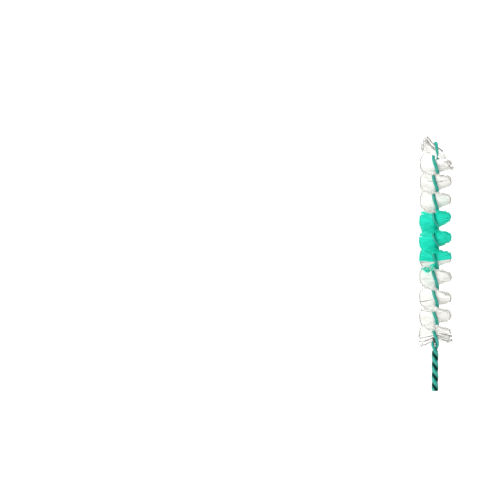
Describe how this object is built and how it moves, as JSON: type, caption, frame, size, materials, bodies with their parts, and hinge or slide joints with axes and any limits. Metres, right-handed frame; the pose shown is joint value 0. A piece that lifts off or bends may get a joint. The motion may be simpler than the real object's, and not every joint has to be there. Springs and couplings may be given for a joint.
{
  "type": "interdental brush",
  "caption": "Refill interdental brush: nylon filaments fanned out along a folded, twisted, coated steel wire, with a bare twisted stem for a holder.",
  "frame": {"origin": "centre of the stem's cut end", "axes": "+Z along the brush from the stem to the folded tip, +X to the right as pictured, looking along +Y"},
  "size_m": [0.0032, 0.0032, 0.024],
  "materials": {
    "steel_core": "drawn wire, sheared bright at the two cut ends",
    "teal_coating": "thin glossy polymer coat, teal",
    "white_nylon": "extruded filament, natural white, slightly translucent",
    "teal_nylon": "extruded filament, dyed teal, slightly translucent"
  },
  "bodies": {
    "root": {"teal_fan_05": "teal_nylon", "teal_fan_06": "teal_nylon", "teal_fan_07": "teal_nylon", "white_fan_01": "white_nylon", "white_fan_02": "white_nylon", "white_fan_03": "white_nylon", "white_fan_04": "white_nylon", "white_fan_05": "white_nylon", "white_fan_08": "white_nylon", "white_fan_09": "white_nylon", "white_fan_10": "white_nylon", "white_fan_11": "white_nylon", "wire_coating": "teal_coating", "wire_core": "steel_core"}
  },
  "joints": []
}
